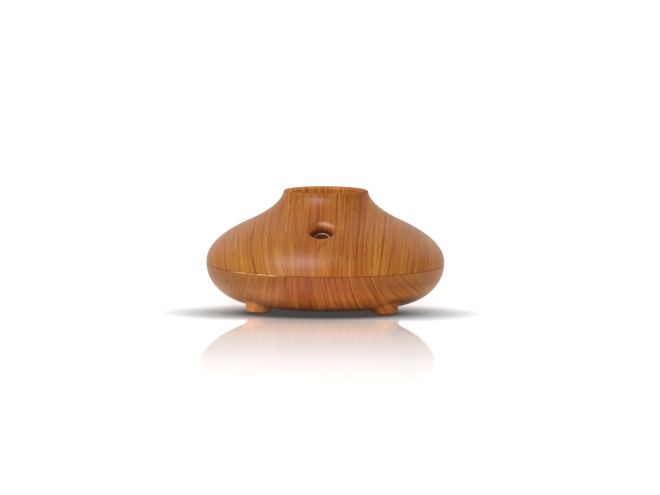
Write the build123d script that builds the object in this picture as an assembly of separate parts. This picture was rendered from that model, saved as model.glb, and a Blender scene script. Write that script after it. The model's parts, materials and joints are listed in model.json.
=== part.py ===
"""A small bottle-fed cool mist humidifier: a flattened round body on four stub feet, with an open collar on top.

A drinks bottle screws into the adapter in the collar, upside down. Its valve fills a basin in the body, an ultrasonic
disc in the basin's floor makes the mist, a fan pushes it up a duct, and it leaves by the round hole in the shoulder.

Millimetres. The origin is on the surface that the feet stand on, below the middle of the body. +Z is up, the mist
hole faces -Y, and the power socket and the button are at +Y.
"""

from build123d import *

import math
import os

# ---- the body ------------------------------------------------------------------------------------
body_r = 52.0                   # at the widest
rim_z = 50.5
equator_z = 19.1                # height of the widest place
seam_z = 18.5                   # where the two shells meet, just below it
base_z = 1.3                    # flat underside
base_r = 31.0
wall = 2.2
seam_groove = 0.35              # bevel on both shells' edges there

rim_r = 18.55
rim_round = 0.9
collar_bore_r = 15.7
collar_r = 17.7                 # outside of the collar inside the body
collar_z = 25.0                 # its lower end
rim_inner_round = 1.3

# ends and handles of the three curves down the outside, as (radius, height)
neck_curve = [(rim_r, rim_z - rim_round), (rim_r, 49.4), (19.2, 43.7), (33.15, 37.35)]
shoulder_curve = [(33.15, 37.35), (44.9, 32.0), (body_r, 26.3), (body_r, equator_z)]
belly_curve = [(body_r, equator_z), (body_r, 8.3), (41.7, base_z), (base_r, base_z)]

tongue_r = 49.6                 # the lower shell's ring that centres the upper shell
tongue_wall = 1.2
tongue_z = (16.0, 20.5)

# ---- feet and the screws hidden in them ----------------------------------------------------------
foot_ring_r = 38.8
foot_r = 5.3
foot_flare = 1.8                # how much wider the foot is where it meets the body, all of it on the inner side
foot_z = 0.3                    # the rubber pad stands this far out of the foot
foot_top = 8.0                  # where the stub ends, inside the belly
foot_round = 0.7
foot_blend = 1.5                # fillet between foot and belly
foot_reach = 6.9                # the joint with the belly lies this near to the foot's middle
pad_r = 4.0
pad_top = 1.1
boss_r = 4.0
boss_top = 20.5
counterbore_r = 2.9
counterbore_top = 12.0
case_shank_r = 1.3
case_screw_length = 14.0

# ---- air intake, slots in the underside below the fan --------------------------------------------
intake_slots = (-24.5, -28.0, -31.5, -35.0, -38.5)
intake_width = 1.5
intake_length = 14.0

# ---- mist outlet ---------------------------------------------------------------------------------
outlet_r = 34.6                 # distance of the hole from the body's axis
throat_r = 4.6
throat_round = 2.8
outlet_boss_r = 7.4
outlet_depth = 4.8              # from the surface to the inner end of the hole
nozzle_r = 3.5
nozzle_bore_r = 2.8
nozzle_flange_r = 6.4
nozzle_rise = 1.2               # how far its tube stands up in the hole
nozzle_gap = 0.4                # gasket between the nozzle's flange and the shell

# ---- basin, lid and transducer -------------------------------------------------------------------
cup_r = 17.5
lobe_y = -26.5                  # the mist chamber is a round lobe of the basin, in front of the cup
lobe_r = 12.7
basin_wall = 1.5
basin_z = 8.8
basin_top = 22.5
gasket_t = 0.5
lid_t = 1.5
lid_z = basin_top + gasket_t
lid_top = lid_z + lid_t
lid_hole_r = 9.5
duct_y = -28.5
duct_r = 6.0
duct_wall = 1.1
ear_places = [(16.0, -17.5), (-16.0, -17.5), (0.0, 21.5)]
ear_r = 3.2
post_r = 3.0
post_z = 3.0

disc_r = 8.0
disc_z = (7.6, 8.2)
seal_r = 9.7
seal_bore_r = 6.6
seal_z = (7.1, basin_z)
retainer_z = (5.6, 6.6)
retainer_bore_r = 6.0
piezo_screw_ring = 11.2

# ---- bottle adapter and its valve ----------------------------------------------------------------
adapter_r = 15.2
adapter_z = lid_top + 0.1
adapter_top = 43.0
thread_r = 12.9
cup_floor = (27.5, 29.5)
skirt_wall = 1.6
washer_t = 1.5
washer_groove_r = 13.3
spout_r = 8.0
spout_bore_r = 6.4
spout_z = 18.5
seat_z = (20.5, 22.5)
valve_open = 2.0                # how far the basin's post holds the valve open
stem_r = 1.5
stem_flange_r = 3.0
stem_flange_z = 15.5
flange_t = 1.0
valve_disc_r = 6.0
valve_disc_t = 1.2
running_gap = 0.06

# ---- fan -----------------------------------------------------------------------------------------
fan_x = -31.5
fan_side = 25.0
fan_z = (9.2, 19.2)
fan_bore_r = 11.7
fan_hole = 10.0                 # from the middle to a screw hole, both ways
hub_r = 6.4
blade_r = 11.2
blades = 7
shaft_r = 0.75
duct_top = 23.4

# ---- electronics ---------------------------------------------------------------------------------
board_t = 1.2
board_z = 9.0
driver_x = (24.0, 43.0)
driver_y = (-13.0, 13.0)
driver_holes = [(27.0, 10.5), (38.0, -10.5)]
jack_board_x = 14.0
jack_board_y = (31.5, 42.0)
jack_board_holes = [(10.5, 34.5), (-10.5, 34.5)]
jack_x = -8.0
jack_end_y = 47.6
button_x = 8.0
button_y = (43.6, 50.6)
button_z = 12.6
button_r = 2.8
button_gap = 0.3
button_flange_r = 3.4
switch_front = 41.5
lead_r = 0.5

inductor_x = 31.5
inductor_y = 2.5
inductor_r = 4.2
inductor_h = 6.2
winding_r = 3.6
capacitor_x = 31.5
capacitor_y = -7.0
capacitor_r = 4.0
capacitor_h = 9.0
sink_x = (37.6, 42.0)
sink_back = 1.4                 # the heat sink's plate, behind its fins
sink_y = (-7.0, 7.0)
sink_h = 9.0
sink_slots = (-4.5, -1.5, 1.5, 4.5)
sink_slot = 1.6                 # width of the gap between two fins


# ---- helpers -------------------------------------------------------------------------------------
def rod(r, z0, z1, x=0.0, y=0.0):
    """An upright cylinder."""
    return Pos(x, y, z0) * Cylinder(r, z1 - z0, align=(Align.CENTER, Align.CENTER, Align.MIN))


def ring(r_out, r_in, z0, z1, x=0.0, y=0.0):
    """An upright tube."""
    return rod(r_out, z0, z1, x, y) - rod(r_in, z0 - 1, z1 + 1, x, y)


def block(x, y, z):
    """A box between the pairs x, y and z."""
    middle = [(a + b) / 2 for a, b in (x, y, z)]
    return Pos(*middle) * Box(x[1] - x[0], y[1] - y[0], z[1] - z[0])


def bar_y(r, y0, y1, x, z):
    """A cylinder along Y."""
    return Pos(x, (y0 + y1) / 2, z) * Rot(90, 0, 0) * Cylinder(r, y1 - y0)


def turned(*edges):
    """The solid that closed edges, drawn as (radius, height), sweep round the Z axis."""
    return revolve(Plane.XZ * make_face(Wire(list(edges))), Axis.Z)


def chain(*points):
    """Straight edges through points, as a list."""
    return [Line(a, b) for a, b in zip(points, points[1:])]


def inward(curve, t):
    """The point one wall thickness inside the outline, at its parameter t."""
    point = curve @ t
    along = curve % t
    return (point.X + along.Y * wall, point.Y - along.X * wall)


def outline_at(curve, r):
    """The outline's parameter where its radius is r, on a stretch where the radius grows."""
    low, high = 0.0, 1.0
    for _ in range(40):
        t = (low + high) / 2
        if (curve @ t).X < r:
            low = t
        else:
            high = t
    return t


def turn(count, start=0.0):
    """Angles in degrees, evenly round a circle."""
    return [start + 360 * i / count for i in range(count)]


def polar(r, angle, y=0.0):
    return (r * math.cos(math.radians(angle)), y + r * math.sin(math.radians(angle)))


def screw(head_r, head_h, shank_r, length):
    """A pan-head screw at the origin that points down, with the underside of its head at z 0."""
    head = fillet(rod(head_r, 0, head_h).edges().group_by(Axis.Z)[-1], head_h * 0.45)
    tip = Pos(0, 0, -length) * Cone(shank_r * 0.4, shank_r, shank_r * 1.5,
                                    align=(Align.CENTER, Align.CENTER, Align.MIN))
    cross = [Rot(0, 0, a) * block((-head_r * 0.55, head_r * 0.55), (-0.22, 0.22), (head_h * 0.5, head_h + 1))
             for a in (0, 90)]
    return head + rod(shank_r, shank_r * 1.5 - length, 0) + tip - cross


def lead(points):
    """A wire through points, with an arc at each inner one as large as its two runs allow."""
    places = [Vector(*p) for p in points]
    radii = []
    for a, b, c in zip(places, places[1:], places[2:]):
        shorter = min((b - a).length, (c - b).length)
        angle = math.radians((b - a).get_angle(c - b))
        radii.append(0.45 * shorter / math.tan(angle / 2))
    path = FilletPolyline(*points, radius=radii)
    start = Plane(origin=path @ 0, z_dir=path % 0)
    return sweep(start * Circle(lead_r), path=path)


def solids_of(*shapes):
    """One compound of the separate solids in shapes."""
    return Compound(children=[s for shape in shapes for s in shape.solids()])


# ---- the body's two outlines, and the solids they bound ------------------------------------------
neck = Bezier(*neck_curve)
shoulder = Bezier(*shoulder_curve)
belly = Bezier(*belly_curve)
rim_arc = TangentArc((rim_r - rim_round, rim_z), (rim_r, rim_z - rim_round), tangent=(1, 0))

whole = turned(Line((0, rim_z), (rim_r - rim_round, rim_z)), rim_arc, neck, shoulder, belly,
               *chain((base_r, base_z), (0, base_z), (0, rim_z)))
whole -= turned(*chain((body_r - seam_groove, seam_z), (body_r + 1, seam_z + seam_groove + 1),
                       (body_r + 1, seam_z - seam_groove - 1), (body_r - seam_groove, seam_z)))

inner_top = [inward(neck, t) for t in (0.5, 0.65, 0.8)] + [inward(shoulder, t) for t in (0, 0.25, 0.5, 0.75, 1)]
inner_bottom = [inward(belly, t) for t in (0, 0.25, 0.5, 0.75, 1)]
cavity_top = inner_top[0][1]
cavity = turned(Line((0, cavity_top), inner_top[0]), Spline(*inner_top), Spline(*inner_bottom),
                *chain(inner_bottom[-1], (0, base_z + wall), (0, cavity_top)))

above = block((-body_r - 1, body_r + 1), (-body_r - 1, body_r + 1), (seam_z, rim_z + 1))
below = block((-body_r - 1, body_r + 1), (-body_r - 1, body_r + 1), (-1, seam_z))

foot_angles = turn(4, 45)
foot_places = [polar(foot_ring_r, a) for a in foot_angles]
board_posts = driver_holes + jack_board_holes
fan_posts = [(fan_x + sx * fan_hole, sy * fan_hole) for sx in (-1, 1) for sy in (-1, 1)]
fan_screw_places = [fan_posts[0], fan_posts[3]]

outlet_t = outline_at(shoulder, outlet_r)
outlet_point = shoulder @ outlet_t
outlet_along = shoulder % outlet_t
outlet_normal = (0, outlet_along.Y, outlet_along.X)        # square to the shoulder, outwards and up
outlet = Plane(origin=(0, -outlet_point.X, outlet_point.Y), x_dir=(1, 0, 0), z_dir=outlet_normal)


def near_throat(edge):
    """Whether an edge of the shell is the mist hole's outer edge."""
    places = [outlet.to_local_coords(edge @ t) for t in (0, 0.3, 0.6, 0.9)]
    return all(abs(p.Z) < 1 and abs(math.hypot(p.X, p.Y) - throat_r) < 0.1 for p in places)


def joins_foot(edge):
    """Whether an edge is where a foot meets the belly."""
    places = [edge @ t for t in (0, 0.25, 0.5, 0.75, 1)]
    return any(all(base_z + 0.01 < p.Z < foot_top and math.hypot(p.X - x, p.Y - y) < foot_reach for p in places)
               for x, y in foot_places)


# ---- casing --------------------------------------------------------------------------------------
def upper_shell():
    shell = (whole & above) - cavity
    shell += ring(collar_r, collar_bore_r, collar_z, cavity_top + 0.5)
    bosses = [rod(boss_r, boss_top, rim_z, *p) for p in foot_places]
    shell += [boss & whole for boss in bosses]
    shell += (outlet * rod(outlet_boss_r, -outlet_depth, 0)) & whole
    shell -= rod(collar_bore_r, collar_z - 1, rim_z + 1)
    shell -= outlet * rod(throat_r, -outlet_depth - 3, 6)
    shell -= [rod(case_shank_r + 0.05, boss_top - 1, counterbore_top + case_screw_length + 1, *p)
              for p in foot_places]
    shell -= rod(tongue_r + 0.2, seam_z - 1, tongue_z[1] + 0.3) - cavity
    rim = shell.edges().filter_by(GeomType.CIRCLE).group_by(Axis.Z)[-1].sort_by(SortBy.RADIUS)[0]
    shell = fillet(rim, rim_inner_round)
    return fillet([e for e in shell.edges() if near_throat(e)], throat_round)


def foot(angle):
    """A stub that is upright on its outer side and slopes on its inner side."""
    bottom = Plane(origin=(foot_ring_r, 0, foot_z)) * Circle(foot_r)
    top = Plane(origin=(foot_ring_r - foot_flare, 0, foot_top)) * Circle(foot_r + foot_flare)
    stub = loft([bottom, top])
    stub = fillet(stub.edges().group_by(Axis.Z)[0], foot_round)
    return Rot(0, 0, angle) * stub


def lower_shell():
    shell = (whole & below) + [foot(a) for a in foot_angles]
    shell = fillet([e for e in shell.edges() if joins_foot(e)], foot_blend)
    shell -= cavity
    shell += ring(tongue_r, tongue_r - tongue_wall, *tongue_z)
    posts = [rod(boss_r, base_z, boss_top, *p) for p in foot_places]
    posts += [rod(post_r, post_z, basin_z, *p) for p in ear_places]
    posts += [rod(post_r - 0.5, post_z, board_z, *p) for p in board_posts]
    posts += [rod(post_r - 0.5, post_z, fan_z[0], *p) for p in fan_posts]
    shell += [post & whole for post in posts]
    for x, y in foot_places:
        shell -= rod(pad_r + 0.1, 0, pad_top, x, y)
        shell -= rod(counterbore_r, 0, counterbore_top, x, y)
        shell -= rod(case_shank_r + 0.4, counterbore_top - 1, boss_top + 1, x, y)
    pilots = [(p, 1.05, basin_z) for p in ear_places]
    pilots += [(p, 0.8, board_z) for p in board_posts]
    pilots += [(p, 0.8, fan_z[0]) for p in fan_screw_places]
    for (x, y), r, top in pilots:
        shell -= rod(r, top - 3.6, top + 1, x, y)
    intake = block((-intake_width / 2, intake_width / 2), (-intake_length / 2, intake_length / 2), (-1, 9))
    shell -= [Pos(x, 0, 0) * intake for x in intake_slots]
    shell -= block((jack_x - 4.3, jack_x + 4.3), (40, 55), (10.0, 13.5))
    return shell - bar_y(button_r + button_gap, button_y[0], 55, button_x, button_z)


def foot_pads():
    pad = rod(pad_r, 0, pad_top)
    pad = fillet(pad.edges().group_by(Axis.Z)[0], 0.2)
    return solids_of(*[Pos(x, y, 0) * pad for x, y in foot_places])


def case_screws():
    one = Rot(180, 0, 0) * screw(2.6, 1.7, case_shank_r, case_screw_length)
    return solids_of(*[Pos(x, y, counterbore_top) * one for x, y in foot_places])


# ---- mist path -----------------------------------------------------------------------------------
nozzle_top = nozzle_rise - outlet_depth
flange_top = -outlet_depth - nozzle_gap
flange_bottom = flange_top - 1.0


def mist_nozzle():
    tube = rod(nozzle_r, flange_bottom, nozzle_top) + rod(nozzle_flange_r, flange_bottom, flange_top)
    tube -= rod(nozzle_bore_r, flange_bottom - 1, nozzle_top + 1)
    lip = tube.edges().filter_by(GeomType.CIRCLE).group_by(Axis.Z)[-1]
    return outlet * fillet(lip, 0.3)


def nozzle_gasket():
    return outlet * ring(nozzle_flange_r, nozzle_r + 0.1, flange_top, -outlet_depth)


def mist_duct():
    """An elbow from the lid's opening up to the nozzle."""
    low = Plane(origin=(0, duct_y, lid_top))
    high = outlet.offset(flange_bottom)
    outer = loft([low * Circle(duct_r + duct_wall), high * Circle(nozzle_bore_r + duct_wall)])
    inner = loft([low * Circle(duct_r), high * Circle(nozzle_bore_r)])
    return outer - inner


# ---- basin ---------------------------------------------------------------------------------------
def plan(shrink, z0, z1):
    """The basin's plan, a cup with a round lobe in front, drawn in by shrink and raised from z0 to z1."""
    return rod(cup_r - shrink, z0, z1) + rod(lobe_r - shrink, z0, z1, 0, lobe_y)


def ears(z0, z1):
    """The three screw ears, each with a web back to the cup."""
    shape = [rod(ear_r, z0, z1, x, y) for x, y in ear_places]
    for x, y in ear_places:
        angle = math.degrees(math.atan2(y, x))
        reach = math.hypot(x, y)
        shape.append(Rot(0, 0, angle) * block((cup_r - 2, reach), (-1.6, 1.6), (z0, z1)))
    return shape


def basin():
    post_top = stem_flange_z - 0.05
    floor_top = basin_z + basin_wall
    shape = plan(0, basin_z, basin_top) + ears(basin_z, basin_top)
    shape -= plan(basin_wall, floor_top, basin_top + 1)
    shape += ring(lobe_r, seal_r + 0.1, retainer_z[1], basin_z + 0.2, 0, lobe_y)
    shape += rod(2.2, basin_z + 0.5, post_top)
    shape -= rod(disc_r - 1, basin_z - 1, floor_top + 1, 0, lobe_y)
    shape -= block((-cup_r - 1, -12), (-6, 6), (19.8, basin_top + 1))
    shape -= [rod(1.35, basin_z - 1, basin_top + 1, x, y) for x, y in ear_places]
    for a in turn(3, 90):
        x, y = polar(piezo_screw_ring, a, lobe_y)
        shape -= rod(0.85, retainer_z[1] - 1, basin_z, x, y)
    return shape


def basin_gasket():
    shape = plan(0.1, basin_top, lid_z) - plan(basin_wall - 0.1, basin_top - 1, lid_z + 1)
    return shape - block((-cup_r - 1, -12), (-6, 6), (basin_top - 1, lid_z + 1))


def basin_lid():
    shape = plan(0, lid_z, lid_top) + ears(lid_z, lid_top)
    shape -= rod(lid_hole_r, lid_z - 1, lid_top + 1)
    shape -= rod(duct_r, lid_z - 1, lid_top + 1, 0, duct_y)
    return shape - [rod(1.35, lid_z - 1, lid_top + 1, x, y) for x, y in ear_places]


def collar_gasket():
    return ring(collar_r - 0.1, collar_bore_r + 0.1, lid_top, collar_z)


def basin_screws():
    one = screw(2.3, 1.5, 1.0, lid_top - basin_z + 3.4)
    return solids_of(*[Pos(x, y, lid_top) * one for x, y in ear_places])


# ---- ultrasonic transducer -----------------------------------------------------------------------
def piezo_disc():
    return rod(disc_r, *disc_z, 0, lobe_y)


def piezo_seal():
    return ring(seal_r, seal_bore_r, *seal_z, 0, lobe_y) - rod(disc_r, *disc_z, 0, lobe_y)


def piezo_retainer():
    shape = rod(lobe_r - 0.1, *retainer_z, 0, lobe_y) + rod(seal_r - 0.1, retainer_z[0], seal_z[0], 0, lobe_y)
    shape -= rod(retainer_bore_r, 0, basin_z, 0, lobe_y)
    for a in turn(3, 90):
        shape -= rod(0.95, 0, basin_z, *polar(piezo_screw_ring, a, lobe_y))
    return shape


def piezo_screws():
    one = Rot(180, 0, 0) * screw(1.5, 0.9, 0.8, 2.6)
    places = [polar(piezo_screw_ring, a, lobe_y) for a in turn(3, 90)]
    return solids_of(*[Pos(x, y, retainer_z[0]) * one for x, y in places])


def piezo_leads():
    """Two wires from the driver board, under the basin, up to the disc."""
    route = [(26.5, -8, 8.98), (26.5, -8, 7.4), (25.5, -12, 6.6), (23.5, -18, 5.2), (17, -24, 4.6),
             (9, -26.4, 4.6), (2.2, -26.5, 4.6), (2.2, -26.5, 7.58)]
    beside = [(28.4, -8.4, 8.98), (28.4, -8.4, 7.4), (27.1, -13.2, 6.6), (25.1, -19.2, 5.2), (18.2, -25.8, 4.6),
              (9.4, -29, 4.6), (-1.5, -29, 4.6), (-1.5, -29, 7.58)]
    return solids_of(lead(route), lead(beside))


# ---- bottle adapter and valve --------------------------------------------------------------------
def bottle_adapter():
    shape = rod(adapter_r, adapter_z, adapter_top)
    shape = chamfer(shape.edges().group_by(Axis.Z)[-1], 0.5)
    shape -= rod(thread_r, cup_floor[1], adapter_top + 1)
    shape -= rod(washer_groove_r, cup_floor[1], cup_floor[1] + washer_t)
    shape -= rod(adapter_r - skirt_wall, adapter_z - 1, cup_floor[0])
    shape += rod(spout_r, spout_z, cup_floor[1])
    shape -= rod(spout_bore_r, seat_z[1], cup_floor[1] + 1)
    shape -= rod(spout_bore_r, spout_z - 1, seat_z[0])
    shape -= rod(stem_r + running_gap, spout_z, cup_floor[1])
    water_ways = ring(5.2, 2.9, *seat_z)
    spokes = [Rot(0, 0, a) * block((0, 6), (-0.7, 0.7), seat_z) for a in turn(3)]
    shape -= water_ways - spokes
    return shape


def adapter_gasket():
    return ring(washer_groove_r - 0.1, spout_bore_r + 0.3, cup_floor[1], cup_floor[1] + washer_t)


def valve_stem():
    """Held open by the basin's post, so its disc is above the seat by valve_open."""
    disc_top = seat_z[1] + valve_open + valve_disc_t
    stem = rod(stem_r, stem_flange_z, disc_top + 0.5)
    stem += rod(stem_flange_r, stem_flange_z, stem_flange_z + flange_t)
    stem += rod(2.6, disc_top, disc_top + 1.0)
    return fillet(stem.edges().group_by(Axis.Z)[-1], 0.4)


def valve_seal():
    bottom = seat_z[1] + valve_open
    return ring(valve_disc_r, stem_r, bottom, bottom + valve_disc_t)


def valve_spring():
    """A compression spring round the stem, between its flange and the underside of the seat."""
    wire = 0.25
    coil_r = 2.15
    low = stem_flange_z + flange_t + wire + 0.02
    height = seat_z[0] - wire - 0.02 - low
    turns = 3.5
    path = Helix(height / turns, height, coil_r)
    start = Plane(origin=path @ 0, z_dir=path % 0)
    return Pos(0, 0, low) * sweep(start * Circle(wire), path=path)


# ---- fan -----------------------------------------------------------------------------------------
hub_plate_z = (fan_z[0], fan_z[0] + 1.2)
rotor_z = (fan_z[0] + 2.0, fan_z[1] - 0.8)
shaft_top = rotor_z[1] - 0.3


def fan_frame():
    half = fan_side / 2
    shape = block((fan_x - half, fan_x + half), (-half, half), fan_z)
    shape = fillet(shape.edges().filter_by(Axis.Z), 2.0)
    shape -= rod(fan_bore_r, fan_z[0] - 1, fan_z[1] + 1, fan_x, 0)
    shape += rod(hub_r - 0.2, *hub_plate_z, fan_x, 0)
    arms = [Pos(fan_x, 0, 0) * Rot(0, 0, a) * block((0, fan_bore_r + 0.4), (-0.8, 0.8), hub_plate_z)
            for a in turn(3, 30)]
    shape += arms
    shape -= [rod(1.0, fan_z[0] - 1, fan_z[1] + 1, x, y) for x, y in fan_posts]
    relief = block((-3.2, 3.2), (-3.2, 3.2), (fan_z[0] + 2.2, fan_z[1] - 2.2))
    return shape - [Pos(x + math.copysign(1.6, x - fan_x), y + math.copysign(1.6, y), 0) * relief
                    for x, y in fan_posts]


def fan_bearing():
    return ring(2.0, shaft_r + 0.04, hub_plate_z[1], hub_plate_z[1] + 5.6, fan_x, 0)


def fan_stator():
    low = hub_plate_z[1] + 0.6
    core = ring(3.2, 2.0, low, low + 4.4)
    poles = [Rot(0, 0, a) * block((2.8, 4.6), (-0.7, 0.7), (low, low + 4.4)) for a in turn(4)]
    shoes = ring(5.0, 4.3, low, low + 4.4)
    gaps = [Rot(0, 0, a) * block((3.4, 6), (-0.5, 0.5), (low - 1, low + 6)) for a in turn(4, 45)]
    return Pos(fan_x, 0, 0) * (core + poles + (shoes - gaps))


def fan_rotor():
    cup = rod(hub_r, *rotor_z)
    cup = fillet(cup.edges().group_by(Axis.Z)[-1], 0.6)
    cup -= rod(hub_r - 1.0, rotor_z[0] - 1, rotor_z[1] - 0.8)
    sweep_volume = ring(blade_r, hub_r - 0.5, rotor_z[0] + 0.2, rotor_z[1] - 0.2)
    middle = sum(rotor_z) / 2
    blade = Pos(8.8, 0, middle) * Rot(38, 0, 0) * Box(6.4, 0.7, 12)
    rotor = cup + [(Rot(0, 0, a) * blade) & sweep_volume for a in turn(blades)]
    return Pos(fan_x, 0, 0) * (rotor - rod(shaft_r, rotor_z[0], shaft_top))


def fan_shaft():
    return rod(shaft_r, hub_plate_z[1] + 0.2, shaft_top, fan_x, 0)


def fan_screws():
    one = screw(1.8, 1.2, 0.75, fan_z[1] - fan_z[0] + 3.2)
    return solids_of(*[Pos(x, y, fan_z[1]) * one for x, y in fan_screw_places])


def fan_leads():
    """Two wires from the fan, round behind the basin, to the driver board."""
    route = [(-18.9, 9, 12), (-17.2, 12.6, 12.4), (-16.2, 17.5, 12.2), (-11, 23.5, 12), (-3.5, 26.8, 12.4),
             (4, 26.6, 12.8), (11, 22.6, 12.4), (16.6, 17.4, 12), (21, 12.8, 12.2), (24.6, 9.4, 10.8)]
    above_it = [(x, y + 0.2, z + 1.5) for x, y, z in route[:-1]] + [(26.2, 7.6, 10.8)]
    return solids_of(lead(route), lead(above_it))


def air_duct():
    """A hood over the fan that turns its air into the notch in the basin's wall."""
    half = 12.0
    x = (fan_x - half, -15.0)
    z = (fan_z[1] + 0.05, duct_top)
    hood = fillet(block(x, (-half, half), z).edges().filter_by(Axis.Z), 2.0)
    hood = fillet(hood.edges().group_by(Axis.Z)[-1], 1.2)
    hood -= block((x[0] + 1.1, -20.5), (-half + 1.1, half - 1.1), (z[0] - 1, z[1] - 1.1))
    hood -= block((-25, -10), (-6, 6), (z[0] + 0.6, z[1] - 1.2))
    hood -= rod(cup_r + 0.2, z[0] - 1, z[1] + 1)
    return hood - [rod(2.1, z[0] - 1, z[1] + 1, px, py) for px, py in fan_posts]


# ---- electronics ---------------------------------------------------------------------------------
board_top = board_z + board_t


def board(x, y, holes):
    shape = fillet(block(x, y, (board_z, board_top)).edges().filter_by(Axis.Z), 1.0)
    return shape - [rod(1.1, board_z - 1, board_top + 1, *p) for p in holes]


def driver_board():
    return board(driver_x, driver_y, driver_holes)


def jack_board():
    return board((-jack_board_x, jack_board_x), jack_board_y, jack_board_holes)


def board_screws():
    one = screw(1.7, 1.1, 0.75, 4.4)
    return solids_of(*[Pos(x, y, board_top) * one for x, y in board_posts])


def inductor():
    """A drum core with its winding between the two flanges."""
    top = board_top + inductor_h
    flanges = [rod(inductor_r, board_top, board_top + 1, inductor_x, inductor_y),
               rod(inductor_r, top - 1, top, inductor_x, inductor_y)]
    return rod(winding_r, board_top, top, inductor_x, inductor_y) + flanges


def filter_capacitor():
    can = rod(capacitor_r, board_top, board_top + capacitor_h, capacitor_x, capacitor_y)
    can = fillet(can.edges().group_by(Axis.Z)[-1], 0.5)
    crimp = (board_top + 1.2, board_top + 1.8)
    return can - ring(capacitor_r + 0.5, capacitor_r - 0.25, *crimp, capacitor_x, capacitor_y)


def heat_sink():
    top = board_top + sink_h
    gap = block((sink_x[0] + sink_back, sink_x[1] + 1), (-sink_slot / 2, sink_slot / 2), (board_top - 1, top + 1))
    return block(sink_x, sink_y, (board_top, top)) - [Pos(0, y, 0) * gap for y in sink_slots]


def power_transistor():
    body = block((36.2, 37.6), (-3.2, 3.2), (board_top + 2.2, board_top + 8.2))
    legs = [block((36.6, 37.0), (c - 0.35, c + 0.35), (board_top, board_top + 2.4)) for c in (-2.3, 0, 2.3)]
    return body + legs


def usb_jack():
    x = (jack_x - 4.0, jack_x + 4.0)
    z = (board_top, board_top + 3.0)
    shape = fillet(block(x, (38.6, jack_end_y), z).edges().filter_by(Axis.Y), 0.5)
    shape -= block((x[0] + 0.5, x[1] - 0.5), (41.5, jack_end_y + 1), (z[0] + 0.5, z[1] - 0.5))
    return shape + block((jack_x - 2.4, jack_x + 2.4), (41, jack_end_y - 0.8), (z[0] + 1.2, z[0] + 1.8))


def tact_switch():
    shape = block((button_x - 3, button_x + 3), (38.0, switch_front), (board_top, board_top + 4.1))
    return shape - bar_y(1.26, 39.5, switch_front + 1, button_x, button_z)


def switch_plunger():
    return bar_y(1.2, 40.5, button_y[0], button_x, button_z)


def power_button():
    cap = bar_y(button_r, *button_y, button_x, button_z)
    cap = fillet(cap.edges().group_by(Axis.Y)[-1], 0.6)
    return cap + bar_y(button_flange_r, button_y[0], button_y[0] + 0.8, button_x, button_z)


def jack_leads():
    """Two wires from the socket's board to the driver board."""
    route = [(13.0, 33, 10.8), (16.5, 30.5, 11.6), (19.0, 25.5, 12.6), (20.8, 20.0, 14.4), (24.0, 15.5, 14.6),
             (27.5, 12.3, 13.2), (29.5, 9.2, 10.8)]
    beside = [(x + 1.5, y + 0.9, z) for x, y, z in route[:-1]] + [(32.5, 9.2, 10.8)]
    return solids_of(lead(route), lead(beside))


nodes = [upper_shell, lower_shell, foot_pads, case_screws, mist_nozzle, nozzle_gasket, mist_duct, basin,
         basin_gasket, basin_lid, collar_gasket, basin_screws, piezo_disc, piezo_seal, piezo_retainer,
         piezo_screws, piezo_leads, bottle_adapter, adapter_gasket, valve_stem, valve_seal, valve_spring,
         fan_frame, fan_bearing, fan_stator, fan_rotor, fan_shaft, fan_screws, fan_leads, air_duct, driver_board,
         jack_board, board_screws, inductor, filter_capacitor, heat_sink, power_transistor, usb_jack, tact_switch,
         switch_plunger, power_button, jack_leads]

if __name__ == "__main__":
    os.makedirs("parts", exist_ok=True)
    for make in nodes:
        export_step(make(), f"parts/{make.__name__}.step")
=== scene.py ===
"""Looks of the cool mist humidifier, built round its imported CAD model.

Places are in the CAD model's frame. Lengths are in metres in the studio and on the floor, and in
millimetres in the materials and the small pieces.
"""

import json
import math

import bmesh
import bpy
from mathutils import Matrix, Vector


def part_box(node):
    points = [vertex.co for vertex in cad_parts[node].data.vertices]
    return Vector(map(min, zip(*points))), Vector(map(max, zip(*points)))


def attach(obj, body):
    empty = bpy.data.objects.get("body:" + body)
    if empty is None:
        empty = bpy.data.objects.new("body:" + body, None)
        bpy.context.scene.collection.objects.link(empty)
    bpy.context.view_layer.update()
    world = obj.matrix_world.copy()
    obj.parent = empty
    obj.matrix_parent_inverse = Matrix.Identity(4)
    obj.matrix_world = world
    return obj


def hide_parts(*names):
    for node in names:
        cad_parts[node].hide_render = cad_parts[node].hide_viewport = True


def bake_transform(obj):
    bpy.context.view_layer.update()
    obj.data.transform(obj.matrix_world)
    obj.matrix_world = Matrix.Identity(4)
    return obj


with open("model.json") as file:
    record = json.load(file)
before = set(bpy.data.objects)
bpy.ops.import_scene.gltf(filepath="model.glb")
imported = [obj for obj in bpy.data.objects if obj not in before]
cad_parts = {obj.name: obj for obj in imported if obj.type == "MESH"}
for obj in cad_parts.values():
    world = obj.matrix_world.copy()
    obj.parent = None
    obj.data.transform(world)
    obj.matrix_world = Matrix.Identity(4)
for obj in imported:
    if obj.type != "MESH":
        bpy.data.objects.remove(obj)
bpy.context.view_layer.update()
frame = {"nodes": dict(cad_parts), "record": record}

MM = 0.001


# ---- colours and node graphs ---------------------------------------------------------------------
def srgb(r, g, b):
    """A colour from 0..255 display values."""
    values = [v / 255 for v in (r, g, b)]
    return tuple(v / 12.92 if v <= 0.04045 else ((v + 0.055) / 1.055) ** 2.4 for v in values)


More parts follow.
